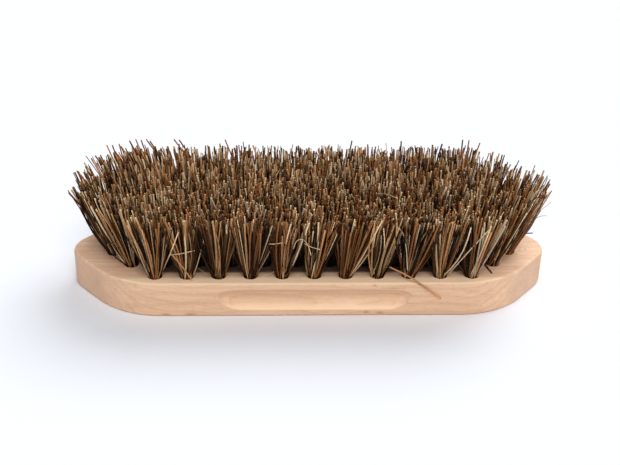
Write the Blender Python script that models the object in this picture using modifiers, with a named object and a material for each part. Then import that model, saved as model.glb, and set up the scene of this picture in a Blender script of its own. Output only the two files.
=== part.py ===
"""A wooden scrubbing brush with pointed ends, filled with six rows of stiff fibre tufts.

The brush lies on its flat back with the bristles up. Units are metres, +Z is up and
+X runs along the block. The origin is the middle of the back, on the surface that
the brush lies on.
"""

import math
import random

import bmesh
import bpy
from mathutils import Matrix, Vector

# The block, a long hexagon seen from above. Its slanted ends meet the long sides at END_ANGLE.
BLOCK_LENGTH = 0.200
BLOCK_WIDTH = 0.062
BLOCK_THICKNESS = 0.0155
END_ANGLE = math.radians(50.1)
TIP_RADIUS = 0.0122
SHOULDER_RADIUS = 0.0357
EDGE_ROUND = 0.0013
TIP_STEPS = 8
SHOULDER_STEPS = 6
EDGE_STEPS = 2

# The finger groove along each long side, with this much wood left above and below it
GROOVE_LENGTH = 0.079
GROOVE_DEPTH = 0.0030
GROOVE_LIP = 0.00305
GROOVE_NOSE = 0.011
GROOVE_SHIFT = 0.0010
GROOVE_NOSE_STEPS = 5
GROOVE_ROUND_STEPS = 20

# The drilled pattern. Each line of the table has a name, the rows that are filled alike, in row
# spacings from the middle of the block, how many places a row has, and how far the rows end from
# the slanted sides. The two middle rows are filled in pairs, and a pair of tufts is one piece.
END_MARGIN = 0.0166
OUTER_END_MARGIN = 0.0188
ROWS = (
    ("front", (-2.5,), 11, OUTER_END_MARGIN),
    ("near", (-1.5,), 12, END_MARGIN),
    ("middle", (-0.5, 0.5), 13, END_MARGIN),
    ("far", (1.5,), 12, END_MARGIN),
    ("rear", (2.5,), 11, OUTER_END_MARGIN),
)
PATTERN_SHIFT = 0.0008
GROOVE_WALL = 0.0009
BACK_WALL = 0.0033
HOLE_DIAMETER = 0.0058
HOLE_SIDES = 8

# The tufts. All lean outwards, sideways by a share of their place and lengthwise by END_LEAN at
# the farthest tuft, which fades quickly away from there. A strand's bend lies at the bend shares
# of its height and of its way outwards.
TRIM_HEIGHT = 0.0300
TRIM_SPREAD = 0.0025
STRAND_COUNT = 6
STRAND_DIAMETER = 0.0010
STRAND_SIDES = 3
FAN_SPREAD = 0.0004
FAN_GAP = 0.0011
END_LEAN = 0.0078
END_LEAN_POWER = 5
LEAN_SIDEWAYS_SHARE = 0.27
BEND_HEIGHT_SHARE = 0.48
BEND_OPENING_SHARE = 0.38
PLUG_SET_BACK = 0.0010
ROOT_MARGIN = 0.0002

# The flat wire staple under each tuft or pair, driven into the wood below the hole
STAPLE_WIRE = 0.0009
STAPLE_BITE = 0.0022
STAPLE_INSET = 0.0007

# Room between pieces, how far a cutter or a joined shape runs past a face, and the widest weld
CLEARANCE = 0.0003
OVERRUN = 0.0010
WELD = 0.000001

# Sizes that follow from those above
HALF_WIDTH = BLOCK_WIDTH / 2
TIP_CORNER = BLOCK_LENGTH / 2 + TIP_RADIUS * (1 / math.sin(END_ANGLE) - 1)
SHOULDER_CORNER = TIP_CORNER - HALF_WIDTH / math.tan(END_ANGLE)
GROOVE_HEIGHT = BLOCK_THICKNESS - 2 * GROOVE_LIP
GROOVE_RADIUS = (GROOVE_HEIGHT**2 / 4 + GROOVE_DEPTH**2) / (2 * GROOVE_DEPTH)
OUTER_ROW = max(max(rows) for _, rows, _, _ in ROWS)
ROW_SPACING = (HALF_WIDTH - GROOVE_DEPTH - GROOVE_WALL - HOLE_DIAMETER / 2) / OUTER_ROW
HOLE_DEPTH = BLOCK_THICKNESS - BACK_WALL - STAPLE_BITE
PLUG_RADIUS = HOLE_DIAMETER / 2 - CLEARANCE
PLUG_FLOOR = CLEARANCE - HOLE_DEPTH
SLOT_FLOOR = -HOLE_DEPTH - STAPLE_BITE
STAPLE_WIDTH = 2 * (PLUG_RADIUS - STAPLE_INSET)
GOLDEN_ANGLE = math.pi * (3 - math.sqrt(5))


def clear_scene():
    for old in list(bpy.data.objects):
        bpy.data.objects.remove(old, do_unlink=True)


def new_collection(name):
    collection = bpy.data.collections.new(name)
    bpy.context.scene.collection.children.link(collection)
    return collection


def make_material(name, colour, roughness, metallic=0.0):
    material = bpy.data.materials.new(name)
    material.use_nodes = True
    material.diffuse_color = (*colour, 1.0)
    shader = material.node_tree.nodes["Principled BSDF"]
    shader.inputs["Base Color"].default_value = (*colour, 1.0)
    shader.inputs["Roughness"].default_value = roughness
    shader.inputs["Metallic"].default_value = metallic
    return material


def add_object(name, data, collection, place=None):
    """Adds an object that shows this mesh or curve, at the place given as a matrix."""
    made = bpy.data.objects.new(name, data)
    if place:
        made.matrix_world = place
    collection.objects.link(made)
    return made


def add_hidden(name, data, collection, place=None):
    """Adds a cutter, or a shape that is joined to a part, which doesn't show by itself."""
    made = add_object(name, data, collection, place)
    made.hide_render = True
    made.display_type = "WIRE"
    return made


def boolean(target, operation, label, other=None, collection=None):
    """Cuts or joins one object, or all that a collection holds."""
    made = target.modifiers.new(label, "BOOLEAN")
    made.operation = operation
    made.solver = "EXACT"
    made.material_mode = "TRANSFER"
    if other:
        made.object = other
    else:
        made.operand_type = "COLLECTION"
        made.collection = collection


def mesh_from(name, fill, material=None):
    """A mesh made by fill, a function that builds in an empty bmesh."""
    build = bmesh.new()
    fill(build)
    mesh = bpy.data.meshes.new(name)
    build.to_mesh(mesh)
    build.free()
    if material:
        mesh.materials.append(material)
    return mesh


def cylinder_mesh(name, radius, low, high, material=None):
    """An upright cylinder between two heights, as many-sided as the holes."""

    def fill(build):
        bmesh.ops.create_cone(
            build,
            cap_ends=True,
            segments=HOLE_SIDES,
            radius1=radius,
            radius2=radius,
            depth=high - low,
            matrix=Matrix.Translation((0, 0, (low + high) / 2)),
        )

    mesh = mesh_from(name, fill, material)
    mesh.shade_smooth()
    mesh.set_sharp_from_angle(angle=math.radians(60))
    return mesh


def box_mesh(name, width, thickness, low, high, material=None):
    """An upright box between two heights."""
    middle = Matrix.Translation((0, 0, (low + high) / 2))
    scale = Matrix.Diagonal((width, thickness, high - low, 1))

    def fill(build):
        bmesh.ops.create_cube(build, size=1, matrix=middle @ scale)

    return mesh_from(name, fill, material)


def poly_spline(curve, places, closed=False):
    spline = curve.splines.new("POLY")
    spline.points.add(len(places) - 1)
    for point, place in zip(spline.points, places):
        point.co = (*place.to_3d(), 1)
    spline.use_cyclic_u = closed


def as_mesh(curve_object):
    """The mesh of a curve object with its caps welded on. The curve is removed."""
    graph = bpy.context.evaluated_depsgraph_get()
    mesh = bpy.data.meshes.new_from_object(curve_object.evaluated_get(graph))
    build = bmesh.new()
    build.from_mesh(mesh)
    bmesh.ops.remove_doubles(build, verts=build.verts, dist=WELD)
    bmesh.ops.recalc_face_normals(build, faces=build.faces)
    build.to_mesh(mesh)
    build.free()
    bpy.data.objects.remove(curve_object, do_unlink=True)
    return mesh


def rounded_corner(before, corner, after, radius, steps):
    """The points of the arc that rounds a corner between its two neighbours."""
    back = (before - corner).normalized()
    ahead = (after - corner).normalized()
    half = back.angle(ahead) / 2
    centre = corner + (back + ahead).normalized() * radius / math.sin(half)
    start = corner + back * radius / math.tan(half) - centre
    turn = math.pi - 2 * half
    arms = [Matrix.Rotation(turn * step / steps, 2) @ start for step in range(steps + 1)]
    return [centre + arm for arm in arms]


def block_outline():
    """The block seen from above, anticlockwise, with its six corners as arcs."""
    corners = [
        Vector((TIP_CORNER, 0)),
        Vector((SHOULDER_CORNER, HALF_WIDTH)),
        Vector((-SHOULDER_CORNER, HALF_WIDTH)),
        Vector((-TIP_CORNER, 0)),
        Vector((-SHOULDER_CORNER, -HALF_WIDTH)),
        Vector((SHOULDER_CORNER, -HALF_WIDTH)),
    ]
    points = []
    for i, corner in enumerate(corners):
        radius, steps = SHOULDER_RADIUS, SHOULDER_STEPS
        if corner.y == 0:
            radius, steps = TIP_RADIUS, TIP_STEPS
        after = corners[(i + 1) % len(corners)]
        points += rounded_corner(corners[i - 1], corner, after, radius, steps)
    return points


def make_block(collection, material):
    """The bare block with softened edges, before it is cut."""
    outline = bpy.data.curves.new("block_outline", "CURVE")
    outline.dimensions = "2D"
    outline.fill_mode = "BOTH"
    outline.extrude = BLOCK_THICKNESS / 2
    poly_spline(outline, block_outline(), closed=True)
    mesh = as_mesh(add_object("block_outline", outline, collection))
    mesh.name = "block"
    mesh.materials.append(material)
    build = bmesh.new()
    build.from_mesh(mesh)
    flat = math.radians(1)
    bmesh.ops.dissolve_limit(build, angle_limit=flat, verts=build.verts, edges=build.edges)
    build.to_mesh(mesh)
    build.free()
    mesh.shade_smooth()
    block = add_object(
        "block", mesh, collection, Matrix.Translation((0, 0, BLOCK_THICKNESS / 2))
    )
    soften = block.modifiers.new("soft_edges", "BEVEL")
    soften.width = EDGE_ROUND
    soften.segments = EDGE_STEPS
    soften.limit_method = "ANGLE"
    soften.angle_limit = math.radians(60)
    soften.harden_normals = True
    return block


def groove_profile():
    """Half the groove cutter's outline, from one pointed end to the other: distance out and along."""
    outside = GROOVE_RADIUS - GROOVE_DEPTH
    # The last stretch of each nose stays outside the wood, so the cutter is longer than its groove.
    spare = GROOVE_NOSE * (1 - math.sqrt(1 - (outside / GROOVE_RADIUS) ** 2))
    nose_start = GROOVE_LENGTH / 2 + spare - GROOVE_NOSE
    nose = []
    for step in range(GROOVE_NOSE_STEPS + 1):
        angle = math.pi / 2 * step / GROOVE_NOSE_STEPS
        along = nose_start + GROOVE_NOSE * math.cos(angle)
        nose.append((GROOVE_RADIUS * math.sin(angle), along))
    return nose + [(out, -along) for out, along in reversed(nose)]


def add_groove_cutter(name, side, collection):
    """A spindle that sinks into one long side: round in section, with a long nose at each end."""

    def fill(build):
        points = [build.verts.new((out, 0, along)) for out, along in groove_profile()]
        for first, second in zip(points, points[1:]):
            build.edges.new((first, second))

    lengthwise = Matrix.Rotation(math.pi / 2, 4, "Y")
    across = side * (HALF_WIDTH + GROOVE_RADIUS - GROOVE_DEPTH)
    middle = Matrix.Translation((GROOVE_SHIFT, across, BLOCK_THICKNESS / 2))
    cutter = add_hidden(name, mesh_from(name, fill), collection, middle @ lengthwise)
    turned = cutter.modifiers.new("turned", "SCREW")
    turned.steps = GROOVE_ROUND_STEPS
    turned.render_steps = GROOVE_ROUND_STEPS
    turned.use_merge_vertices = True
    turned.merge_threshold = WELD


def row_reach(row, margin):
    """From the middle of a row to its last tuft: the rows end in line with the slanted sides."""
    return TIP_CORNER - abs(row) * ROW_SPACING / math.tan(END_ANGLE) - margin


def fan_radius():
    """How far a tuft's outermost strand can spread before it meets the next tuft's."""
    between_rows = ROW_SPACING * (1 + LEAN_SIDEWAYS_SHARE)
    in_row = min(2 * row_reach(rows[0], margin) / (count - 1) for _, rows, count, margin in ROWS)
    return (min(between_rows, in_row) - FAN_GAP - STRAND_DIAMETER) / 2 - FAN_SPREAD


def upright(along, row):
    """The matrix of what stands at this place: origin on the top face, Z along its lean."""
    farthest = max(row_reach(rows[0], margin) for _, rows, _, margin in ROWS)
    lean_along = END_LEAN * (abs(along) / farthest) ** END_LEAN_POWER
    lean_across = LEAN_SIDEWAYS_SHARE * row * ROW_SPACING
    up = Vector((math.copysign(lean_along, along), lean_across, TRIM_HEIGHT)).normalized()
    sideways = up.cross(Vector((1, 0, 0))).normalized()
    turn = Matrix((sideways.cross(up), sideways, up)).transposed().to_4x4()
    mouth = Matrix.Translation((PATTERN_SHIFT + along, row * ROW_SPACING, BLOCK_THICKNESS))
    return mouth @ turn


def tuft_pieces():
    """Each piece's name, its number along the row, where along it stands, and its rows."""
    for row_name, rows, count, margin in ROWS:
        for index in range(count):
            along = row_reach(rows[0], margin) * (2 * index / (count - 1) - 1)
            yield f"tuft_{row_name}_{index + 1:02d}", index, along, rows


def staple_place(along, rows):
    """The matrix of a staple, under its tuft or midway between the two of a pair."""
    return upright(along, sum(rows) / len(rows))


def staple_sides(rows):
    """A staple's length along and across the block: along it under one tuft, across under two."""
    if len(rows) == 1:
        return STAPLE_WIDTH, STAPLE_WIRE
    return STAPLE_WIRE, STAPLE_WIDTH + (max(rows) - min(rows)) * ROW_SPACING


def strand_points(rank, chance, turning, widest):
    """The root, the bend and the tip of one strand, in its tuft's own frame."""
    share = math.sqrt((rank + 1 / 2) / (STRAND_COUNT - 1 / 2))
    angle = rank * GOLDEN_ANGLE * turning
    outward = Vector((math.cos(angle), math.sin(angle), 0))
    root = share * (PLUG_RADIUS - STRAND_DIAMETER / 2 - ROOT_MARGIN)
    tip = share * widest + chance.uniform(-FAN_SPREAD, FAN_SPREAD)
    bend = root + BEND_OPENING_SHARE * (tip - root)
    trim = TRIM_HEIGHT + chance.uniform(-TRIM_SPREAD, TRIM_SPREAD)
    return [
        outward * root + Vector((0, 0, -PLUG_SET_BACK - OVERRUN)),
        outward * bend + Vector((0, 0, BEND_HEIGHT_SHARE * trim)),
        outward * tip + Vector((0, 0, trim)),
    ]


def make_strand_section(collection):
    """The section that every strand is drawn along its path with."""
    curve = bpy.data.curves.new("strand_section", "CURVE")
    curve.dimensions = "2D"
    corner = Vector((STRAND_DIAMETER / 2, 0))
    turns = [2 * math.pi * side / STRAND_SIDES for side in range(STRAND_SIDES)]
    poly_spline(curve, [Matrix.Rotation(turn, 2) @ corner for turn in turns], closed=True)
    return add_object("strand_section", curve, collection)


def add_strands(name, row, index, section, collection):
    """All the strands of one tuft. The rows behind the middle mirror those in front."""
    turning = -1 if row < 0 else 1
    chance = random.Random(f"strands {abs(row)} {index}")
    curve = bpy.data.curves.new(name, "CURVE")
    curve.dimensions = "3D"
    curve.bevel_mode = "OBJECT"
    curve.bevel_object = section
    curve.use_fill_caps = True
    widest = fan_radius()
    for rank in range(STRAND_COUNT):
        poly_spline(curve, strand_points(rank, chance, turning, widest))
    return add_object(name, curve, collection)


def make_tufts(parts, joined, fibre, steel):
    """Each tuft is a plug of folded fibre in its hole, its strands, and the staple under it."""
    section = make_strand_section(joined)
    tufts = [(piece, row) for piece in tuft_pieces() for row in piece[-1]]
    curves = [add_strands(name, row, index, section, joined) for (name, index, *_), row in tufts]
    strands = [as_mesh(curve) for curve in curves]
    bpy.data.objects.remove(section, do_unlink=True)
    finished = {}
    for ((name, _, along, rows), row), mesh in zip(tufts, strands):
        mesh.materials.append(fibre)
        place = upright(along, row)
        plug = cylinder_mesh(name, PLUG_RADIUS, PLUG_FLOOR, -PLUG_SET_BACK, fibre)
        if name in finished:
            tuft = finished[name]
            second = add_hidden(f"second_plug_{name}", plug, joined, place)
            boolean(tuft, "UNION", "second plug", other=second)
        else:
            tuft = finished[name] = add_object(name, plug, parts, place)
            staple = box_mesh(
                "staple",
                *staple_sides(rows),
                SLOT_FLOOR + CLEARANCE,
                PLUG_FLOOR + OVERRUN,
                steel,
            )
            wire = add_hidden(f"staple_{name}", staple, joined, staple_place(along, rows))
            boolean(tuft, "UNION", "staple", other=wire)
        bristles = add_hidden(f"strands_{name}", mesh, joined, place)
        boolean(tuft, "UNION", "strands", other=bristles)


def add_drills(cutters):
    """A blind hole for each tuft, and the slot that each staple has cut under the holes."""
    drill = cylinder_mesh("drill", HOLE_DIAMETER / 2, -HOLE_DEPTH, OVERRUN)
    for name, _, along, rows in tuft_pieces():
        for row in rows:
            add_hidden(f"hole_{name}", drill, cutters, upright(along, row))
        length, width = staple_sides(rows)
        slot = box_mesh(
            "staple_slot",
            length + 2 * CLEARANCE,
            width + 2 * CLEARANCE,
            SLOT_FLOOR,
            PLUG_FLOOR + OVERRUN + CLEARANCE,
        )
        add_hidden(f"slot_{name}", slot, cutters, staple_place(along, rows))


def main():
    clear_scene()
    parts = new_collection("scrubbing_brush")
    cutters = new_collection("cutters")
    joined = new_collection("joined_shapes")
    beech = make_material("beech", (0.72, 0.50, 0.33), 0.62)
    fibre = make_material("mixed_fibre", (0.16, 0.10, 0.055), 0.7)
    steel = make_material("staple_wire", (0.45, 0.45, 0.46), 0.35, metallic=1.0)

    make_tufts(parts, joined, fibre, steel)
    block = make_block(parts, beech)
    add_groove_cutter("finger_groove_front", -1, cutters)
    add_groove_cutter("finger_groove_rear", 1, cutters)
    add_drills(cutters)
    boolean(block, "DIFFERENCE", "drilled_and_grooved", collection=cutters)


main()
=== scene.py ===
# %% [markdown]
# This scene dresses a wooden scrubbing brush that lies on its flat back, bristles up. The packed
# model holds each piece at its real size. The cells below keep those places and sizes, and give
# the block its grain and each tuft its fibres. Lengths are in metres and +Z points up.

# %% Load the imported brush
import math

import bmesh
import bpy
from mathutils import Matrix, Vector


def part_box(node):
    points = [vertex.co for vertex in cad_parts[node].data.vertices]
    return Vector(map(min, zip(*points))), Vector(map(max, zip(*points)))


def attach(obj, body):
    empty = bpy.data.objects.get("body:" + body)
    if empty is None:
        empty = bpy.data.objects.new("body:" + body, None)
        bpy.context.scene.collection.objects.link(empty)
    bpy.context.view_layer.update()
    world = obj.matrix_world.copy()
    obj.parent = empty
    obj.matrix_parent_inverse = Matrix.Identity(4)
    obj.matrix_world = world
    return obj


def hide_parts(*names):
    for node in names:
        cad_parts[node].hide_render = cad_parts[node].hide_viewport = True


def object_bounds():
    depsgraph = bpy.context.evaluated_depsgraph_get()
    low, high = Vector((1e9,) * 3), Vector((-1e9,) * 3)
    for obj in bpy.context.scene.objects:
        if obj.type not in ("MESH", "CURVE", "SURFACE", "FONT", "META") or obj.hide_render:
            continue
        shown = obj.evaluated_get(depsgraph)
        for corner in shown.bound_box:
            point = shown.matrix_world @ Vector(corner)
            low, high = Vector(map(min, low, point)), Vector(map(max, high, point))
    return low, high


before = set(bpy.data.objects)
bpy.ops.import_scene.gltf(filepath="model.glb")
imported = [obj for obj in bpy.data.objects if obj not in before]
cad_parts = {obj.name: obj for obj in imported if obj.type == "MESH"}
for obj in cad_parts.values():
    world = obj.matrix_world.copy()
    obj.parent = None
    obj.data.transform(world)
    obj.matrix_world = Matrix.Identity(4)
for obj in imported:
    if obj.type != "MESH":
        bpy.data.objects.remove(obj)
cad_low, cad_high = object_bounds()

MM = 0.001
BODY = "root"
scene = bpy.context.scene
block_low, block_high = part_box("block")
BLOCK_LENGTH = block_high.x - block_low.x
HALF_WIDTH = (block_high.y - block_low.y) / 2
THICKNESS = block_high.z - block_low.z
tuft_names = sorted(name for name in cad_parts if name.startswith("tuft_"))
print("the packed brush measures", [round(side / MM, 1) for side in cad_high - cad_low], "mm")
print("it holds", len(tuft_names), "tuft pieces, each a tuft or a pair")

# %% [markdown]
# The camera comes first, because every later choice is judged through it. The photograph was taken
# from a little above, with a long lens close enough that the far edge looks shorter than the near
# one. The values below place it on a sphere round the point it aims at: how far off it is, how
# high it stands, how far it has walked round the brush, and how much it is tilted sideways.

# %% Camera
LENS = 65.4
CAMERA_DISTANCE = 492.2 * MM
CAMERA_RISE = math.radians(28.75)
CAMERA_WALK = math.radians(-2.55)
CAMERA_TILT = math.radians(1.14)
CAMERA_AIM = Vector((0.45, 12.07, 15.5)) * MM
NEAREST_SHARE = 0.02


def add_camera():
    """A camera that looks at its aim, tilted about its own line of sight."""
    camera = bpy.data.objects.new("camera", bpy.data.cameras.new("camera"))
    camera.data.lens = LENS
    camera.data.clip_start = CAMERA_DISTANCE * NEAREST_SHARE
    back = Vector((0, -math.cos(CAMERA_RISE), math.sin(CAMERA_RISE)))
    back.rotate(Matrix.Rotation(CAMERA_WALK, 3, "Z"))
    look = (-back).to_track_quat("-Z", "Y").to_matrix() @ Matrix.Rotation(CAMERA_TILT, 3, "Z")
    camera.matrix_world = Matrix.LocRotScale(CAMERA_AIM + back * CAMERA_DISTANCE, look, None)
    scene.collection.objects.link(camera)
    scene.camera = camera
    return camera


camera = add_camera()
print("the camera stands", round(camera.location.z / MM), "mm above the floor")

# %% [markdown]
# Materials and Geometry Nodes are both trees of nodes. These short helpers add a node, set or link
# its inputs, and name a tree's own inputs and outputs, so that the later cells can say only what
# each tree does. The last two end a Geometry Nodes tree and turn its result into a plain mesh.

# %% Helpers for node trees


def add_node(tree, kind, links=None, **settings):
    """A new node. The values in links are numbers, colours, text or the sockets to join to."""
    node = tree.nodes.new(kind)
    for name, value in settings.items():
        setattr(node, name, value)
    for key, value in (links or {}).items():
        if isinstance(value, bpy.types.NodeSocket):
            tree.links.new(value, node.inputs[key])
        else:
            node.inputs[key].default_value = value
    return node


def maths(tree, operation, *values):
    """The outcome of one step of arithmetic on numbers."""
    links = dict(enumerate(values))
    return add_node(tree, "ShaderNodeMath", links, operation=operation).outputs[0]


def scaled(tree, vector, factor):
    """A vector times a number."""
    links = {0: vector, "Scale": factor}
    return add_node(tree, "ShaderNodeVectorMath", links, operation="SCALE").outputs[0]


def summed(tree, *vectors):
    """The sum of two or more vectors."""
    total = vectors[0]
    for vector in vectors[1:]:
        links = {0: total, 1: vector}
        total = add_node(tree, "ShaderNodeVectorMath", links, operation="ADD").outputs[0]
    return total


def new_tree(name, kind, inputs, outputs):
    """A node tree with named inputs and outputs, and its two end nodes."""
    tree = bpy.data.node_groups.new(name, kind)
    for label, socket, value in inputs:
        made = tree.interface.new_socket(label, in_out="INPUT", socket_type=socket)
        if value is not None:
            made.default_value = value
    for label, socket in outputs:
        tree.interface.new_socket(label, in_out="OUTPUT", socket_type=socket)
    given = tree.nodes.new("NodeGroupInput").outputs
    result = tree.nodes.new("NodeGroupOutput").inputs
    return tree, given, result


def finish_tree(tree, solid, finish, result):
    """The end of a Geometry Nodes tree: no instances left, and the material on."""
    solid = add_node(tree, "GeometryNodeRealizeInstances", {0: solid}).outputs[0]
    links = {"Geometry": solid, "Material": finish}
    finished = add_node(tree, "GeometryNodeSetMaterial", links).outputs[0]
    tree.links.new(finished, result[0])


def grow(name, tree, settings, start=None):
    """A plain mesh that a Geometry Nodes tree makes from these named inputs."""
    seedling = bpy.data.objects.new(name, start or bpy.data.meshes.new(name))
    scene.collection.objects.link(seedling)
    modifier = seedling.modifiers.new("grown", "NODES")
    modifier.node_group = tree
    for item in tree.interface.items_tree:
        if item.item_type == "SOCKET" and item.in_out == "INPUT" and item.name in settings:
            modifier[item.identifier] = settings[item.name]
    graph = bpy.context.evaluated_depsgraph_get()
    mesh = bpy.data.meshes.new_from_object(seedling.evaluated_get(graph))
    bpy.data.objects.remove(seedling, do_unlink=True)
    mesh.name = name
    piece = bpy.data.objects.new(name, mesh)
    scene.collection.objects.link(piece)
    return piece


print("the helpers are ready")

# %% [markdown]
# Wood has a direction. Its fibres, its pale and dark bands and its small brown flecks all run along
# the block, so each is a noise that is squeezed across the grain and stretched along it. The
# growth rings are shells round the heart of the tree, which lay behind and below this block. A slow
# noise bends them. All of these share one node group, and the material turns them into colours.

# %% Wood grain group
GRAIN_SIZES = {
    "Band Width": 4 * MM,
    "Streak Width": 0.9 * MM,
    "Fibre Width": 0.25 * MM,
    "Fleck Width": 0.45 * MM,
    "Ring Width": 2.3 * MM,
    "Stretch": 16.0,
}
GRAIN_MASKS = ("Bands", "Streaks", "Fibres", "Flecks", "Rings")
FLECK_STRETCH = 5.0
FLECKS_FROM = 0.62
FLECKS_FULL = 0.72
RING_HEART = Vector((0, 44, -38)) * MM
RING_SHARPNESS = 3.0
RING_WARP = 9 * MM
WARP_WIDTH = 30 * MM
WARP_STRETCH = 2.0


def make_grain_group():
    """A node group that gives where the wood has its bands, streaks, fibres, flecks and rings."""
    tree, given, result = new_tree(
        "wood grain",
        "ShaderNodeTree",
        [(label, "NodeSocketFloat", size) for label, size in GRAIN_SIZES.items()],
        [(label, "NodeSocketFloat") for label in GRAIN_MASKS],
    )
    place = add_node(tree, "ShaderNodeTexCoord").outputs["Object"]
    along, across, up = add_node(tree, "ShaderNodeSeparateXYZ", {0: place}).outputs

    def stretched_noise(width, stretch, detail, roughness):
        """A noise of this width across the grain, and longer along it."""
        links = {0: maths(tree, "DIVIDE", along, stretch), 1: across, 2: up}
        squeezed = add_node(tree, "ShaderNodeCombineXYZ", links).outputs[0]
        links = {
            "Vector": squeezed,
            "Scale": maths(tree, "DIVIDE", 1.0, width),
            "Detail": detail,
            "Roughness": roughness,
        }
        return add_node(tree, "ShaderNodeTexNoise", links).outputs[0]

    stretch = given["Stretch"]
    bands = stretched_noise(given["Band Width"], stretch, detail=3.0, roughness=0.55)
    streaks = stretched_noise(given["Streak Width"], stretch, detail=3.0, roughness=0.65)
    fibres = stretched_noise(given["Fibre Width"], stretch, detail=2.0, roughness=0.6)
    specks = stretched_noise(given["Fleck Width"], FLECK_STRETCH, detail=0.0, roughness=0.5)
    links = {"Value": specks, "From Min": FLECKS_FROM, "From Max": FLECKS_FULL}
    flecks = add_node(tree, "ShaderNodeMapRange", links).outputs[0]
    warp = stretched_noise(WARP_WIDTH, WARP_STRETCH, detail=2.0, roughness=0.5)
    warp = maths(tree, "MULTIPLY", warp, RING_WARP)
    from_heart = [
        maths(tree, "SUBTRACT", across, RING_HEART.y),
        maths(tree, "SUBTRACT", up, RING_HEART.z),
    ]
    squares = [maths(tree, "MULTIPLY", side, side) for side in from_heart]
    radius = maths(tree, "SQRT", maths(tree, "ADD", *squares))
    count = maths(tree, "DIVIDE", maths(tree, "ADD", radius, warp), given["Ring Width"])
    rings = maths(tree, "POWER", maths(tree, "FRACT", count), RING_SHARPNESS)
    for label, mask in zip(GRAIN_MASKS, (bands, streaks, fibres, flecks, rings)):
        tree.links.new(mask, result[label])
    return tree


grain_group = make_grain_group()
print("the grain group gives", GRAIN_MASKS)

# %% [markdown]
# Colours are judged on the usual scale from 0 to 255. Nodes reckon in amounts of light
# instead, so one helper turns the first into the second. The others start a material, blend one
# colour into another, and move a value from one range to another.

# %% Helpers for materials


def colour(red, green, blue):
    """A shade read off as 0 to 255, as the linear values that nodes use."""

    def linear(level):
        """One level by the sRGB curve, which is straight near black."""
        share = level / 255
        return share / 12.92 if share <= 0.04045 else ((share + 0.055) / 1.055) ** 2.4

    return (linear(red), linear(green), linear(blue), 1.0)


def new_material(name):
    """A node material with its Principled shader."""
    material = bpy.data.materials.new(name)
    material.use_nodes = True
    return material, material.node_tree, material.node_tree.nodes["Principled BSDF"]


def blended(tree, factor, low, high, mode="MIX"):
    """One colour blended into another."""
    links = {"Factor": factor, 6: low, 7: high}
    node = add_node(tree, "ShaderNodeMix", links, data_type="RGBA", blend_type=mode)
    return node.outputs[2]


def ranged(tree, value, low, high, new_low=0.0, new_high=1.0):
    """A value moved from one range to another, and kept inside it."""
    links = {
        "Value": value,
        "From Min": low,
        "From Max": high,
        "To Min": new_low,
        "To Max": new_high,
    }
    return add_node(tree, "ShaderNodeMapRange", links).outputs[0]


print("a level of 128 is", round(colour(128, 128, 128)[0], 3), "of the light")

# %% [markdown]
# The block is pale beech, fine-sanded and unvarnished. Its long sides show grain, and its slanted
# ends cut across the fibres, so they soak up more light and look a little darker. The direction
# of the surface tells the two apart. The grooves are paler, most of all low down, partly where the
# groove cutter and the sander took the most off and partly as painted light. The top margins along
# the long sides are paler as painted light. Painted shade darkens the wood right under the groove's
# upper lip and between the tufts. A few brown marks sit where the photograph shows them. Each is a
# soft blot, given by its centre, its half sizes, its shade and its strength. Most run longer along
# the grain.

# %% Marks on the wood
BROWN = (168, 112, 70)
RUSSET = (214, 140, 88)
DARK = (96, 70, 48)
WOOD_MARKS = (
    ((-59.5, -31, 1.2), (3.2, 2, 0.8), BROWN, 0.55),
    ((-49.4, -31, 1.2), (3.6, 2, 0.8), BROWN, 0.6),
    ((22.2, -31, 1.9), (1.8, 2, 1.0), BROWN, 0.5),
    ((27.8, -31, 1.6), (2.2, 2, 1.1), BROWN, 0.5),
    ((25.2, -31, 14.6), (1.3, 2, 0.4), BROWN, 0.7),
    ((33.0, -31, 13.2), (4.5, 2, 0.5), DARK, 0.3),
    ((65.4, -31, 11.4), (4.6, 2, 0.6), RUSSET, 0.4),
    ((84.3, -5.5, 15.5), (0.7, 0.8, 1), DARK, 0.6),
    ((87.2, -2.0, 15.5), (1.1, 0.6, 1), DARK, 0.5),
    ((87.4, -7.2, 15.5), (0.9, 0.7, 1), DARK, 0.55),
    ((92.2, -3.2, 15.5), (0.6, 1.4, 1), DARK, 0.35),
    ((89.4, -4.2, 15.5), (0.6, 0.6, 1), DARK, 0.4),
)
BLOT_CORE_SHARE = 0.2


def blot(tree, place, centre, half_sizes):
    """1 in the core of an ellipsoid, fading to 0 on its surface. Its sizes are in millimetres."""
    offset = summed(tree, place, -Vector(centre) * MM)
    links = {0: offset, 1: [1 / (size * MM) for size in half_sizes]}
    shrunk = add_node(tree, "ShaderNodeVectorMath", links, operation="MULTIPLY").outputs[0]
    away = add_node(tree, "ShaderNodeVectorMath", {0: shrunk}, operation="LENGTH").outputs["Value"]
    return ranged(tree, away, BLOT_CORE_SHARE, 1.0, 1.0, 0.0)


print("the wood has", len(WOOD_MARKS), "marks")

# %% Beech
BEECH_SHADES = {
    "pale band": (252, 213, 179),
    "deep band": (236, 194, 162),
    "streak": (208, 160, 124),
    "ring": (202, 150, 112),
    "fibre": (190, 146, 110),
    "fleck": (160, 108, 74),
    "cut across": (188, 154, 130),
    "sanded and painted light": (255, 222, 184),
    "painted shade under the lip": (168, 120, 84),
    "dust": (34, 20, 12),
}
NOISE_RANGE = (0.3, 0.7)
STREAK_RANGE = (0.35, 0.75)
RING_TURN = (0.3, 0.7)
CUT_TURN = (0.45, 0.8)
GROOVE_TURN = (0.85, 0.75)
MARGIN_TURN = (0.5, 0.8)
LIP_SHADE_TURN = (-0.6, -0.92)
RING_SHARES = (0.34, 0.14)
GROOVE_SHARES = (0.1, 0.2)
STREAK_SHARE = 0.42
FIBRE_SHARE = 0.14
FLECK_SHARE = 0.14
CUT_SHARE = 0.4
LIP_SHADE_SHARE = 0.9
MARGIN_LIGHT_SHARE = 0.9
TUFT_SHADE_SHARE = 0.85
HOLLOW_FROM = 0.2 * MM
HOLLOW_FULL = 1.6 * MM
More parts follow.
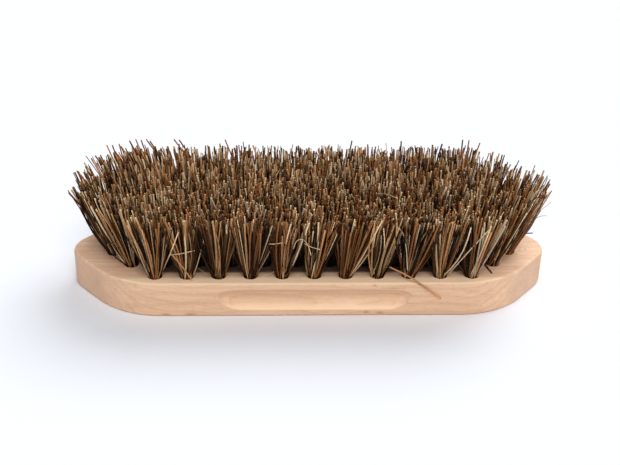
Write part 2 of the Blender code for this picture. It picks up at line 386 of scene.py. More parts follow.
GROOVE_HIGH = 11 * MM
GROOVE_LOW = 5 * MM
GROOVE_PALE_TO = 38 * MM
GROOVE_PALE_END = 44 * MM
MARGIN_FROM = 6 * MM
MARGIN_FULL = 4 * MM
TUFTED_HALF_WIDTH = 22.6 * MM
TUFTED_REACH = 80.5 * MM
TUFTED_SLANT = 0.866
TUFTED_FADE = 1.6 * MM
# Painted shade on the top between the tufts: where it starts and where it is full.
TUFT_SHADE_FROM = 2 * MM
TUFT_SHADE_FULL = 8 * MM
BEECH_ROUGHNESS = (0.52, 0.68)
FIBRE_BUMP = 0.05 * MM
BUMP_STRENGTH = 0.25


def make_beech():
    """Beech: grain, cut ends, places paled by sanding and painted light, painted shade, then marks.

    A turn is how far the surface faces an end, or up, or below zero down, from where the effect
    starts to where it is full.
    """
    material, tree, shader = new_material("beech")
    grain = add_node(tree, "ShaderNodeGroup", node_tree=grain_group).outputs
    place = add_node(tree, "ShaderNodeTexCoord").outputs["Object"]
    sides = add_node(tree, "ShaderNodeSeparateXYZ", {0: place}).outputs
    out_along, out_across = (maths(tree, "ABSOLUTE", sides[side]) for side in (0, 1))
    height = sides[2]
    normal = add_node(tree, "ShaderNodeNewGeometry").outputs["Normal"]
    facing = add_node(tree, "ShaderNodeSeparateXYZ", {0: normal}).outputs
    slanted = maths(tree, "ABSOLUTE", facing[0])

    def both(first, second):
        """Where both masks are on, as far as both are."""
        return maths(tree, "MULTIPLY", first, second)

    def tinted(shade, amount, name):
        """The shade, with this much of a beech shade laid over it."""
        return blended(tree, amount, shade, colour(*BEECH_SHADES[name]))

    shade = colour(*BEECH_SHADES["pale band"])
    shade = tinted(shade, ranged(tree, grain["Bands"], *NOISE_RANGE), "deep band")
    streaks = ranged(tree, grain["Streaks"], *STREAK_RANGE, 0.0, STREAK_SHARE)
    shade = tinted(shade, streaks, "streak")
    rings = both(grain["Rings"], ranged(tree, slanted, *RING_TURN, *RING_SHARES))
    shade = tinted(shade, rings, "ring")
    fibres = ranged(tree, grain["Fibres"], *NOISE_RANGE, 0.0, FIBRE_SHARE)
    shade = tinted(shade, fibres, "fibre")
    shade = tinted(shade, both(grain["Flecks"], FLECK_SHARE), "fleck")
    shade = tinted(shade, ranged(tree, slanted, *CUT_TURN, 0.0, CUT_SHARE), "cut across")

    hollow = ranged(tree, out_across, HALF_WIDTH - HOLLOW_FROM, HALF_WIDTH - HOLLOW_FULL)
    hollow = both(hollow, ranged(tree, height, GROOVE_HIGH, GROOVE_LOW, *GROOVE_SHARES))
    # Paler groove, most of all low down: partly sanding, partly painted light.
    in_groove = both(hollow, ranged(tree, facing[2], *GROOVE_TURN))
    in_groove = both(in_groove, ranged(tree, out_along, GROOVE_PALE_END, GROOVE_PALE_TO))
    # Painted light: the up-facing top margins along the long sides are paler.
    painted_margin_light = ranged(tree, out_across, HALF_WIDTH - MARGIN_FROM, HALF_WIDTH - MARGIN_FULL)
    painted_margin_light = both(painted_margin_light, ranged(tree, facing[2], *MARGIN_TURN, 0.0, MARGIN_LIGHT_SHARE))
    shade = tinted(shade, maths(tree, "MAXIMUM", in_groove, painted_margin_light), "sanded and painted light")
    # Painted shade: a dark line right under the groove's upper lip, where the surface faces down.
    painted_lip_shade = both(hollow, ranged(tree, facing[2], *LIP_SHADE_TURN, 0.0, LIP_SHADE_SHARE))
    shade = tinted(shade, painted_lip_shade, "painted shade under the lip")

    # Painted shade: the top of the block between the tufts is darkened.
    slant = maths(tree, "MULTIPLY_ADD", out_across, TUFTED_SLANT, out_along)
    tufted = both(
        ranged(tree, out_across, TUFTED_HALF_WIDTH, TUFTED_HALF_WIDTH - TUFTED_FADE),
        ranged(tree, slant, TUFTED_REACH, TUFTED_REACH - TUFTED_FADE),
    )
    dust = both(tufted, ranged(tree, height, TUFT_SHADE_FROM, TUFT_SHADE_FULL, 0.0, TUFT_SHADE_SHARE))
    shade = tinted(shade, dust, "dust")
    for centre, half_sizes, mark, strength in WOOD_MARKS:
        amount = both(blot(tree, place, centre, half_sizes), strength)
        shade = blended(tree, amount, shade, colour(*mark))
    tree.links.new(shade, shader.inputs["Base Color"])
    rough = ranged(tree, grain["Fibres"], *NOISE_RANGE, *BEECH_ROUGHNESS)
    tree.links.new(rough, shader.inputs["Roughness"])
    links = {"Height": grain["Fibres"], "Strength": BUMP_STRENGTH, "Distance": FIBRE_BUMP}
    bump = add_node(tree, "ShaderNodeBump", links).outputs[0]
    tree.links.new(bump, shader.inputs["Normal"])
    return material


beech = make_beech()
print("beech has", len(beech.node_tree.nodes), "nodes")

# %% [markdown]
# Seen from above, the block is a long hexagon whose corners are wide arcs. Its sides could be an
# extruded outline, but the finger grooves are shallow hollows with a soft lip, which a cut leaves
# too sharp. So the sides are a stack of rings. Each ring follows the outline and steps inwards by
# what the rounded edge and the groove take away at that height.

# %% Outline of the block
END_ANGLE = math.radians(50.1)
TIP_RADIUS = 12.2 * MM
SHOULDER_RADIUS = 35.7 * MM
EDGE_ROUND = 1.3 * MM
ARC_STEP = math.radians(3)
SIDE_STEP = 0.5 * MM
TIP_CORNER = BLOCK_LENGTH / 2 + TIP_RADIUS * (1 / math.sin(END_ANGLE) - 1)
SHOULDER_CORNER = TIP_CORNER - HALF_WIDTH / math.tan(END_ANGLE)


def corner_arc(before, corner, after, radius):
    """Points of the arc that rounds a corner, each with the direction outwards."""
    back = (before - corner).normalized()
    ahead = (after - corner).normalized()
    half = back.angle(ahead) / 2
    centre = corner + (back + ahead).normalized() * radius / math.sin(half)
    start = (corner + back * radius / math.tan(half) - centre).normalized()
    turn = math.pi - 2 * half
    steps = math.ceil(turn / ARC_STEP)
    outwards = [Matrix.Rotation(turn * step / steps, 2) @ start for step in range(steps + 1)]
    return [(centre + out * radius, out) for out in outwards]


def side_between(first, last):
    """Extra points on a long side, where the groove needs them."""
    (start, out), (end, _) = first, last
    if abs(out.x) > abs(out.y) or abs(start.y - end.y) > EDGE_ROUND:
        return []
    count = round((end - start).length / SIDE_STEP)
    return [(start.lerp(end, i / count), out) for i in range(1, count)]


def outline():
    """The block's outline, anticlockwise, with the straight long sides divided finely."""
    corners = [
        Vector((TIP_CORNER, 0)),
        Vector((SHOULDER_CORNER, HALF_WIDTH)),
        Vector((-SHOULDER_CORNER, HALF_WIDTH)),
        Vector((-TIP_CORNER, 0)),
        Vector((-SHOULDER_CORNER, -HALF_WIDTH)),
        Vector((SHOULDER_CORNER, -HALF_WIDTH)),
    ]
    points = []
    for i, corner in enumerate(corners):
        radius = SHOULDER_RADIUS if corner.y else TIP_RADIUS
        arc = corner_arc(corners[i - 1], corner, corners[(i + 1) % len(corners)], radius)
        if points:
            points += side_between(points[-1], arc[0])
        points += arc
    return points


block_outline = outline()
print("the outline has", len(block_outline), "points")

# %% [markdown]
# A groove is cut by a round cutter that sinks three millimetres into the side and rises again at
# both ends. How deep it goes at a point follows from two curves: the cutter's own circle across
# the groove, and an ellipse along it, on which the cutter rises. The cutter climbs a little on its
# way out, so both ends lie above the groove's middle line. Near the lip a small rounding takes
# over, as sanding would leave it.

# %% Finger grooves
GROOVE_LENGTH = 79 * MM
GROOVE_DEPTH = 3 * MM
GROOVE_LIP = 3.05 * MM
GROOVE_NOSE = 11 * MM
GROOVE_NOSE_LIFT = 1.7 * MM
GROOVE_SHIFT = 1 * MM
LIP_ROUND = 0.12 * MM
GROOVE_HEIGHT = THICKNESS - 2 * GROOVE_LIP
CUTTER_RADIUS = (GROOVE_HEIGHT**2 / 4 + GROOVE_DEPTH**2) / (2 * GROOVE_DEPTH)
CUTTER_OUTSIDE = CUTTER_RADIUS - GROOVE_DEPTH
NOSE_SPARE = GROOVE_NOSE * (1 - math.sqrt(1 - (CUTTER_OUTSIDE / CUTTER_RADIUS) ** 2))
NOSE_START = GROOVE_LENGTH / 2 + NOSE_SPARE - GROOVE_NOSE


def groove_inset(along, height):
    """How far the groove steps back the side at a place along it and a height."""
    into_nose = max(0, abs(along - GROOVE_SHIFT) - NOSE_START) / GROOVE_NOSE
    off_centre = height - THICKNESS / 2 - GROOVE_NOSE_LIFT * into_nose**2
    reach = CUTTER_RADIUS**2 * max(0, 1 - into_nose**2) - off_centre**2
    cut = math.sqrt(max(0, reach)) - CUTTER_OUTSIDE
    return (cut + math.hypot(cut, 2 * LIP_ROUND)) / 2


def edge_inset(height):
    """How far the rounded edges step back the side at a height."""
    into_edge = EDGE_ROUND - min(height, THICKNESS - height)
    if into_edge <= 0:
        return 0
    return EDGE_ROUND - math.sqrt(max(0, EDGE_ROUND**2 - into_edge**2))


print("the groove is", round(groove_inset(0, THICKNESS / 2) / MM, 2), "mm deep in the middle")

# %% [markdown]
# Now the body can be built ring by ring. The rings lie close together on the rounded edges, where
# the shape turns fast, and evenly between them. One face at the bottom and one at the top close
# the stack, because holes can only be drilled cleanly into a closed shape.

# %% Block body
EDGE_RINGS = 7
SIDE_RINGS = 64


def ring_heights():
    """Heights of the rings: close together on the rounded edges, even between them."""
    turns = [math.pi / 2 * ring / EDGE_RINGS for ring in range(EDGE_RINGS + 1)]
    edge = [EDGE_ROUND * (1 - math.cos(turn)) for turn in turns]
    straight = THICKNESS - 2 * EDGE_ROUND
    sides = [EDGE_ROUND + straight * ring / SIDE_RINGS for ring in range(1, SIDE_RINGS)]
    return edge + sides + [THICKNESS - height for height in reversed(edge)]


def make_block_body():
    """The undrilled block as a closed stack of rings."""
    build = bmesh.new()
    rings = []
    for height in ring_heights():
        ring = []
        for point, out in block_outline:
            inset = edge_inset(height)
            if abs(out.y) > abs(out.x) and abs(abs(point.y) - HALF_WIDTH) < LIP_ROUND:
                inset += groove_inset(point.x, height)
            place = point - out * inset
            ring.append(build.verts.new((place.x, place.y, height)))
        rings.append(ring)
    for lower, upper in zip(rings, rings[1:]):
        for i in range(len(lower)):
            build.faces.new((lower[i - 1], lower[i], upper[i], upper[i - 1]))
    build.faces.new(list(reversed(rings[0])))
    build.faces.new(rings[-1])
    mesh = bpy.data.meshes.new("block_body")
    build.to_mesh(mesh)
    build.free()
    return mesh


block_body = make_block_body()
print("the block body has", len(block_body.polygons), "faces")

# %% [markdown]
# Each tuft stands in a blind hole that is drilled along the tuft's own lean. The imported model
# tells where: the floor of a tuft's plug is square to the tuft, so it gives the foot of the hole
# and its direction. From there a line runs up to the mouth on the top face. The two middle rows
# are packed as pairs of tufts, and the two floors of a pair tilt apart a little.

# %% Find the holes
FACES_DOWN = -0.9
SAME_PLANE = 0.999
ABOVE_STAPLE = 1 * MM


def holes_of(node):
    """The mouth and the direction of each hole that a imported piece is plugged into."""
    down = [face for face in node.data.polygons if face.normal.z < FACES_DOWN]
    staple_foot = min(face.center.z for face in down)
    floors = [face for face in down if face.center.z > staple_foot + ABOVE_STAPLE]
    found = []
    while floors:
        up = -floors[0].normal
        plane = [face for face in floors if -face.normal.dot(up) > SAME_PLANE]
        floors = [face for face in floors if -face.normal.dot(up) <= SAME_PLANE]
        area = sum(face.area for face in plane)
        foot = sum((face.center * face.area for face in plane), Vector()) / area
        found.append((foot + up * (block_high.z - foot.z) / up.z, up))
    return found


holes = {name: holes_of(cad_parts[name]) for name in tuft_names}
mouths = [mouth for piece_holes in holes.values() for mouth, _ in piece_holes]
furthest = max(mouth.x for mouth in mouths)
print(len(mouths), "holes, the outermost", round(furthest / MM, 1), "mm from the middle")

# %% [markdown]
# Drilling seventy-two holes one by one would be slow to write and slow to change. Geometry Nodes
# set a drill on every mouth, turn each one along its hole, and take them all away from the block
# in a single cut. The drill flares a little at the top, because a real mouth is never knife-sharp.

# %% Drill
HOLE_RADIUS = 2.9 * MM
HOLE_DEPTH = 10 * MM
MOUTH_FLARE = 0.25 * MM
OVERRUN = 1 * MM
HOLE_SIDES = 20
MERGE_WITHIN = 0.001 * MM


def make_drill():
    """A drill bit as a turned profile, pointing down, with its origin in the mouth."""
    wide = HOLE_RADIUS + MOUTH_FLARE
    profile = [
        (0, -HOLE_DEPTH),
        (HOLE_RADIUS, -HOLE_DEPTH),
        (HOLE_RADIUS, -MOUTH_FLARE),
        (wide, 0),
        (wide, OVERRUN),
        (0, OVERRUN),
    ]
    build = bmesh.new()
    points = [build.verts.new((out, 0, height)) for out, height in profile]
    edges = [build.edges.new(pair) for pair in zip(points, points[1:])]
    bmesh.ops.spin(
        build,
        geom=points + edges,
        axis=(0, 0, 1),
        cent=(0, 0, 0),
        angle=2 * math.pi,
        steps=HOLE_SIDES,
    )
    bmesh.ops.remove_doubles(build, verts=build.verts, dist=MERGE_WITHIN)
    bmesh.ops.recalc_face_normals(build, faces=build.faces)
    mesh = bpy.data.meshes.new("drill")
    build.to_mesh(mesh)
    build.free()
    drill = bpy.data.objects.new("drill", mesh)
    scene.collection.objects.link(drill)
    return drill


def make_mouth_points():
    """One point at each mouth, which carries the direction of its hole."""
    mesh = bpy.data.meshes.new("mouths")
    mesh.from_pydata(mouths, [], [])
    direction = mesh.attributes.new("drilled_along", "FLOAT_VECTOR", "POINT")
    directions = [up for piece_holes in holes.values() for _, up in piece_holes]
    for item, up in zip(direction.data, directions):
        item.vector = up
    points = bpy.data.objects.new("mouths", mesh)
    scene.collection.objects.link(points)
    return points


drill = make_drill()
mouth_points = make_mouth_points()
print("the drill has", len(drill.data.polygons), "faces")

# %% Drilled block
SHARP_FROM = math.radians(35)


def make_drilling_tree():
    """A tree that drills a block along the direction stored at each mouth."""
    tree, given, result = new_tree(
        "drilled block",
        "GeometryNodeTree",
        [
            ("Block", "NodeSocketGeometry", None),
            ("Mouths", "NodeSocketObject", None),
            ("Drill", "NodeSocketObject", None),
            ("Finish", "NodeSocketMaterial", None),
        ],
        [("Block", "NodeSocketGeometry")],
    )
    points = add_node(tree, "GeometryNodeObjectInfo", {"Object": given["Mouths"]})
    bit = add_node(tree, "GeometryNodeObjectInfo", {"Object": given["Drill"]})
    along = add_node(
        tree, "GeometryNodeInputNamedAttribute", {"Name": "drilled_along"}, data_type="FLOAT_VECTOR"
    ).outputs["Attribute"]
    turned = add_node(tree, "FunctionNodeAlignRotationToVector", {"Vector": along}, axis="Z")
    links = {
        "Points": points.outputs["Geometry"],
        "Instance": bit.outputs["Geometry"],
        "Rotation": turned.outputs[0],
    }
    drills = add_node(tree, "GeometryNodeInstanceOnPoints", links).outputs[0]
    drills = add_node(tree, "GeometryNodeRealizeInstances", {0: drills}).outputs[0]
    links = {"Mesh 1": given["Block"], "Mesh 2": drills}
    cut = add_node(
        tree, "GeometryNodeMeshBoolean", links, operation="DIFFERENCE", solver="EXACT"
    ).outputs[0]
    finish_tree(tree, cut, given["Finish"], result)
    return tree


block = grow(
    "wooden_block",
    make_drilling_tree(),
    {"Mouths": mouth_points, "Drill": drill, "Finish": beech},
    start=block_body,
)
block.data.shade_smooth()
block.data.set_sharp_from_angle(angle=SHARP_FROM)
for helper in (drill, mouth_points):
    bpy.data.objects.remove(helper, do_unlink=True)
print("the drilled block has", len(block.data.polygons), "faces")

# %% [markdown]
# The tufts are stiff plant fibre of mixed shades, from near-black to straw and orange. Every fibre
# carries its own random tone, stored on the mesh, and the material looks the tone up in a ramp.
# Thin streaks run along each fibre. Painted light makes it darker low down and paler towards its
# tip, and its cut end is paler still. Painted shade darkens the roots of the inner tufts.

# %% Mixed fibre
FIBRE_SHADES = (
    (0.00, colour(28, 12, 4)),
    (0.20, colour(70, 40, 16)),
    (0.38, colour(114, 78, 44)),
    (0.54, colour(154, 97, 55)),
    (0.67, colour(188, 147, 101)),
    (0.79, colour(234, 208, 168)),
    (0.89, colour(188, 168, 140)),
    (0.95, colour(208, 152, 104)),
)
CUT_END_SHADE = colour(190, 152, 108)
CUT_END_FROM_SHARE = 0.93
CUT_END_SHARE = 0.22
STREAKS_A_METRE = 4200.0
STREAK_SQUEEZE = (1.0, 1.0, 0.12)
STREAK_LIGHTNESS = (0.72, 1.25)
# Painted light: each fibre is darker low down and paler towards its tip.
TIP_LIGHT_FROM_SHARE = 0.6
TIP_LIGHT_LIGHTNESS = (0.8, 1.22)
# Painted shade at the roots of the inner tufts: how high it reaches, and the share left.
ROOT_SHADE_TO_SHARES = (0.15, 0.85)
ROOT_LIGHT_SHARE = 0.1
FIBRE_SHEEN = 0.1
FIBRE_ROUGHNESS = (0.55, 0.8)


def make_fibre_material():
    """Plant fibre in mixed shades, with painted tip light and painted shade at the inner roots."""
    material, tree, shader = new_material("mixed_fibre")
    tone, along, inner = (
        add_node(tree, "ShaderNodeAttribute", attribute_name=name).outputs["Fac"]
        for name in ("tone", "along", "inner")
    )
    ramp = add_node(tree, "ShaderNodeValToRGB", {0: tone})
    ramp.color_ramp.interpolation = "CONSTANT"
    while len(ramp.color_ramp.elements) < len(FIBRE_SHADES):
        ramp.color_ramp.elements.new(1.0)
    for stop, (share, shade) in zip(ramp.color_ramp.elements, FIBRE_SHADES):
        stop.position = share
        stop.color = shade
    place = add_node(tree, "ShaderNodeTexCoord").outputs["Object"]
    links = {"Vector": place, "Scale": STREAK_SQUEEZE}
    squeezed = add_node(tree, "ShaderNodeMapping", links).outputs[0]
    links = {"Vector": squeezed, "Scale": STREAKS_A_METRE, "Detail": 1.0}
    streaks = add_node(tree, "ShaderNodeTexNoise", links).outputs[0]
    streaked = ranged(tree, streaks, *NOISE_RANGE, *STREAK_LIGHTNESS)
    # Painted light: darker low on the fibre, paler towards the tip.
    painted_tip_light = ranged(tree, along, TIP_LIGHT_FROM_SHARE, 1.0, *TIP_LIGHT_LIGHTNESS)
    streaked = maths(tree, "MULTIPLY", streaked, painted_tip_light)
    shade = blended(tree, 1.0, ramp.outputs[0], streaked, "MULTIPLY")
    cut_end = ranged(tree, along, CUT_END_FROM_SHARE, 1.0, 0.0, CUT_END_SHARE)
    shade = blended(tree, cut_end, shade, CUT_END_SHADE)
    # Painted shade: the roots of the inner tufts are darkened.
    low_down = ranged(tree, along, *ROOT_SHADE_TO_SHARES, 1.0, 0.0)
    dusty = maths(tree, "MULTIPLY", inner, low_down)
    root_shade_left = maths(tree, "SUBTRACT", 1.0, maths(tree, "MULTIPLY", dusty, 1.0 - ROOT_LIGHT_SHARE))
    shade = blended(tree, 1.0, shade, root_shade_left, "MULTIPLY")
    tree.links.new(shade, shader.inputs["Base Color"])
    rough = ranged(tree, streaks, *NOISE_RANGE, *FIBRE_ROUGHNESS)
    tree.links.new(rough, shader.inputs["Roughness"])
    shader.inputs["Specular IOR Level"].default_value = FIBRE_SHEEN
    return material


mixed_fibre = make_fibre_material()
print("the fibres have", len(FIBRE_SHADES), "shades")

# %% [markdown]
# A tuft is a bundle of fibres that is squeezed in its hole and fans out above it. Placing each
# fibre by hand is out of the question, and a particle system can't be turned into clean solids.
# Geometry Nodes start from one point a fibre. Each point draws its own root, tip, bend, length,
# girth and tone at random. A tip that would lie past the edge of the brush is brought back to it.

# %% What each fibre draws
GOLDEN_ANGLE = math.pi * (3 - math.sqrt(5))
ANGLE_JITTER = 0.8
STRAY_POWER = 1.4
CROOK_POWER = 2.5
LONGER_POWER = 12.0
SHORTER_POWER = 7.0
GIRTH_POWER = 1.4
LENGTH_HELD_SHARE = 0.96
WIDTH_HELD_SHARE = 0.93


def random_number(tree, low, high, seed, offset):
    """An even random number, different for each fibre and each offset of the seed."""
    seed = maths(tree, "ADD", seed, float(offset))
    node = add_node(tree, "FunctionNodeRandomValue", {2: low, 3: high, "Seed": seed})
    return node.outputs[1]


def around(tree, radius, angle):
    """A level step of this length in this direction."""
    sides = [maths(tree, turn, angle) for turn in ("COSINE", "SINE")]
    unit = add_node(tree, "ShaderNodeCombineXYZ", {0: sides[0], 1: sides[1]}).outputs[0]
    return scaled(tree, unit, radius)


def held(tree, tip, centre, side, half, share):
    """The tip, brought back to this share of the brush's half size where it lies past it."""
    place = add_node(tree, "ShaderNodeSeparateXYZ", {0: summed(tree, centre, tip)}).outputs[side]
    edge = maths(tree, "MULTIPLY", half, share)
    over = maths(tree, "SUBTRACT", maths(tree, "ABSOLUTE", place), edge)
    back = maths(tree, "MULTIPLY", maths(tree, "MAXIMUM", over, 0.0), -1.0)
    pull = maths(tree, "MULTIPLY", maths(tree, "SIGN", place), back)
    return summed(tree, tip, add_node(tree, "ShaderNodeCombineXYZ", {side: pull}).outputs[0])


def draw_fibres(tree, given):
    """The root, tip, crook, height, girth and tone that each fibre draws."""

    def drawn(low, high, offset):
        """An even draw for each fibre."""
        return random_number(tree, low, high, given["Seed"], offset)

    def rarely(most, power, offset):
        """Anything up to this much. The higher the power, the fewer fibres come near it."""
        return maths(tree, "MULTIPLY", maths(tree, "POWER", drawn(0.0, 1.0, offset), power), most)

    rank = add_node(tree, "GeometryNodeInputIndex").outputs[0]
    share = maths(tree, "DIVIDE", maths(tree, "ADD", rank, 0.5), given["Fibres"])
    share = maths(tree, "SQRT", share)
    even = maths(tree, "MULTIPLY", rank, GOLDEN_ANGLE)
    angle = maths(tree, "ADD", even, drawn(0.0, ANGLE_JITTER, 1))
    root = around(tree, maths(tree, "MULTIPLY", share, given["Root Radius"]), angle)
    stray = around(tree, rarely(given["Fan Spread"], STRAY_POWER, 2), drawn(0.0, 2 * math.pi, 3))
    tip = around(tree, maths(tree, "MULTIPLY", share, given["Fan Radius"]), angle)
    tip = summed(tree, tip, stray)
    centre = summed(tree, given["Mouth"], given["Lean"])
    tip = held(tree, tip, centre, 0, given["Half Length"], drawn(LENGTH_HELD_SHARE, 1.0, 12))
    tip = held(tree, tip, centre, 1, given["Half Width"], drawn(WIDTH_HELD_SHARE, 1.0, 9))
    crook = around(tree, rarely(given["Crook"], CROOK_POWER, 4), drawn(0.0, 2 * math.pi, 5))
    uneven = maths(tree, "MULTIPLY", drawn(-1.0, 1.0, 6), given["Trim Spread"])
    longer = rarely(given["Longest Extra"], LONGER_POWER, 10)
    shorter = rarely(given["Shortest Loss"], SHORTER_POWER, 11)
    uneven = maths(tree, "SUBTRACT", maths(tree, "ADD", uneven, longer), shorter)
    height = maths(tree, "ADD", given["Trim Height"], uneven)
    thicker = rarely(maths(tree, "SUBTRACT", given["Thickest"], given["Thinnest"]), GIRTH_POWER, 7)
    girth = maths(tree, "ADD", given["Thinnest"], thicker)
    return {
        "Root": root,
        "Tip": tip,
        "Crook": crook,
        "Height": height,
        "Girth": girth,
        "Tone": drawn(0.0, 1.0, 8),
    }


print("a tip is held within", WIDTH_HELD_SHARE, "to 1 of the brush's half width")

# %% [markdown]
# Each fibre is a short line of seven points. The first lies deep in the hole and the second at its
# mouth. The whole line leans as its tuft does. Above the mouth it also opens from its root towards
# its tip, and bows by its crook, which is strongest halfway up.

# %% How each fibre bends
BENDS = 7
ROOT_STEPS = 1
OPENING_POWER = 0.85


def bend_fibres(tree, given, kept):
    """The place of each point of a fibre, and its share of the way from the mouth to the tip."""
    step = add_node(tree, "GeometryNodeSplineParameter").outputs["Index"]
    above = maths(tree, "SUBTRACT", step, float(ROOT_STEPS))
    above = maths(tree, "DIVIDE", above, float(BENDS - 1 - ROOT_STEPS))
    above = maths(tree, "MAXIMUM", above, 0.0)
    below = maths(tree, "LESS_THAN", step, ROOT_STEPS - 0.5)
    sunk = maths(tree, "MULTIPLY", below, given["Root Depth"])
    rise = maths(tree, "SUBTRACT", maths(tree, "MULTIPLY", above, kept["Height"]), sunk)
    upright = add_node(tree, "ShaderNodeCombineXYZ", {2: rise}).outputs[0]
    leaning = scaled(tree, given["Lean"], maths(tree, "DIVIDE", rise, given["Trim Height"]))
    spread = summed(tree, kept["Tip"], scaled(tree, kept["Root"], -1.0))
    opening = scaled(tree, spread, maths(tree, "POWER", above, OPENING_POWER))
    bow = maths(tree, "SINE", maths(tree, "MULTIPLY", above, math.pi))
    bowed = scaled(tree, kept["Crook"], bow)
    place = summed(tree, given["Mouth"], upright, leaning, kept["Root"], opening, bowed)
    return place, above


def marked(tree, curve, marks):
    """The curve with these values stored on its points, where the material reads them."""
    settings = {"data_type": "FLOAT", "domain": "POINT"}
    for label, value in marks.items():
        links = {"Geometry": curve, "Name": label, "Value": value}
        curve = add_node(tree, "GeometryNodeStoreNamedAttribute", links, **settings).outputs[0]
    return curve


def swept(tree, curve, radius, sides):
    """A round section of this radius swept along the curve, closed at both ends."""
    links = {"Resolution": sides, "Radius": 1.0}
    section = add_node(tree, "GeometryNodeCurvePrimitiveCircle", links).outputs[0]
    links = {"Curve": curve, "Profile Curve": section, "Scale": radius, "Fill Caps": True}
    return add_node(tree, "GeometryNodeCurveToMesh", links).outputs[0]


print("a fibre has", BENDS, "points,", ROOT_STEPS, "of them below the mouth")

# %% Tuft tree
TRIM_HEIGHT = 30 * MM


def make_tuft_tree():
    """A tree that grows one tuft from the mouth of its hole."""
    tree, given, result = new_tree(
        "fibre tuft",
        "GeometryNodeTree",
        [
            ("Fibres", "NodeSocketInt", 86),
            ("Mouth", "NodeSocketVector", None),
            ("Lean", "NodeSocketVector", None),
            ("Root Radius", "NodeSocketFloat", 2.6 * MM),
            ("Root Depth", "NodeSocketFloat", 9 * MM),
            ("Trim Height", "NodeSocketFloat", TRIM_HEIGHT),
            ("Trim Spread", "NodeSocketFloat", 1.6 * MM),
            ("Longest Extra", "NodeSocketFloat", 2.3 * MM),
            ("Shortest Loss", "NodeSocketFloat", 7 * MM),
            ("Fan Radius", "NodeSocketFloat", 8.6 * MM),
            ("Fan Spread", "NodeSocketFloat", 7 * MM),
            ("Half Length", "NodeSocketFloat", None),
            ("Half Width", "NodeSocketFloat", None),
            ("Crook", "NodeSocketFloat", 2.4 * MM),
            ("Thinnest", "NodeSocketFloat", 0.19 * MM),
            ("Thickest", "NodeSocketFloat", 0.41 * MM),
            ("Sides", "NodeSocketInt", 5),
            ("Inner", "NodeSocketFloat", 0.0),
            ("Seed", "NodeSocketInt", 0),
            ("Finish", "NodeSocketMaterial", None),
        ],
        [("Tuft", "NodeSocketGeometry")],
    )
    start = add_node(tree, "GeometryNodeMeshLine", {"Count": given["Fibres"]}).outputs[0]
    kept = add_node(tree, "GeometryNodeCaptureAttribute", domain="POINT")
    for label, value in draw_fibres(tree, given).items():
        kept.capture_items.new("VECTOR" if value.type == "VECTOR" else "FLOAT", label)
        tree.links.new(value, kept.inputs[label])
    tree.links.new(start, kept.inputs[0])

    line = add_node(tree, "GeometryNodeCurvePrimitiveLine").outputs[0]
    line = add_node(tree, "GeometryNodeResampleCurve", {"Curve": line, "Count": BENDS}).outputs[0]
    links = {"Points": kept.outputs[0], "Instance": line}
    fibres = add_node(tree, "GeometryNodeInstanceOnPoints", links).outputs[0]
    fibres = add_node(tree, "GeometryNodeRealizeInstances", {0: fibres}).outputs[0]
    place, above = bend_fibres(tree, given, kept.outputs)
    links = {"Geometry": fibres, "Position": place}
    fibres = add_node(tree, "GeometryNodeSetPosition", links).outputs[0]
    marks = {"tone": kept.outputs["Tone"], "along": above, "inner": given["Inner"]}
    fibres = marked(tree, fibres, marks)
    solid = swept(tree, fibres, kept.outputs["Girth"], given["Sides"])
    finish_tree(tree, solid, given["Finish"], result)
    return tree


tuft_tree = make_tuft_tree()
print("the tuft tree has", len(tuft_tree.nodes), "nodes")

# %% [markdown]
# The one tree grows every tuft: it is handed the mouth of a hole, a lean and a seed of its own.
# The imported tufts stand in an even pattern. On the real brush the rear left ones splay further
# out, and those round the middle of the front row and to the right of it lean to the right, so
# these get some extra lean on top of their hole's. Tufts inside the outer rows and away from the
# block's ends are inner ones, whose roots the material darkens with painted shade.

# %% Tufts
PAST_THE_SOLIDS = 1.2 * MM
OUTER_ROWS = ("front", "rear")
INNER_REACH = 70 * MM
SEED_STEP = 100
EXTRA_LEAN = {
    "tuft_rear_01": Vector((-9, 1.5, 0)) * MM,
    "tuft_rear_02": Vector((-5, 1.5, 0)) * MM,
    "tuft_rear_03": Vector((-2, 1, 0)) * MM,
    "tuft_far_01": Vector((-6, 3, 0)) * MM,
    "tuft_far_02": Vector((-2, 2, 0)) * MM,
    "tuft_front_04": Vector((1, 0, 0)) * MM,
    "tuft_front_05": Vector((2, 0, 0)) * MM,
    "tuft_front_06": Vector((3, 0, 0)) * MM,
    "tuft_front_07": Vector((4, 0, 0)) * MM,
    "tuft_front_08": Vector((3.5, 0, 0)) * MM,
    "tuft_front_09": Vector((2, 0, 0)) * MM,
}


def make_tuft(node_name, mouth, up, seed):
    """The fibres of one tuft, from its hole up to the trim."""
    lean = Vector((up.x, up.y, 0)) / up.z * TRIM_HEIGHT
    row_name = node_name.split("_")[1]
    settings = {
        "Mouth": mouth,
        "Lean": lean + EXTRA_LEAN.get(node_name, Vector()),
        "Half Length": cad_high.x + PAST_THE_SOLIDS,
        "Half Width": cad_high.y + PAST_THE_SOLIDS,
        # Inner tufts get painted shade at their roots.
        "Inner": float(row_name not in OUTER_ROWS and abs(mouth.x) < INNER_REACH),
        "Seed": seed,
        "Finish": mixed_fibre,
    }
    return grow(node_name.replace("tuft", "fibres"), tuft_tree, settings)


def make_tuft_piece(node_name, number):
    """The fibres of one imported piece, which is a tuft or a pair of tufts."""
    seeds = (SEED_STEP * number, SEED_STEP * number + SEED_STEP // 2)
    tufts = [make_tuft(node_name, *hole, seed) for hole, seed in zip(holes[node_name], seeds)]
    build = bmesh.new()
    for tuft in tufts:
        build.from_mesh(tuft.data)
    build.to_mesh(tufts[0].data)
    build.free()
    for spare in tufts[1:]:
        bpy.data.objects.remove(spare, do_unlink=True)
    return tufts[0]


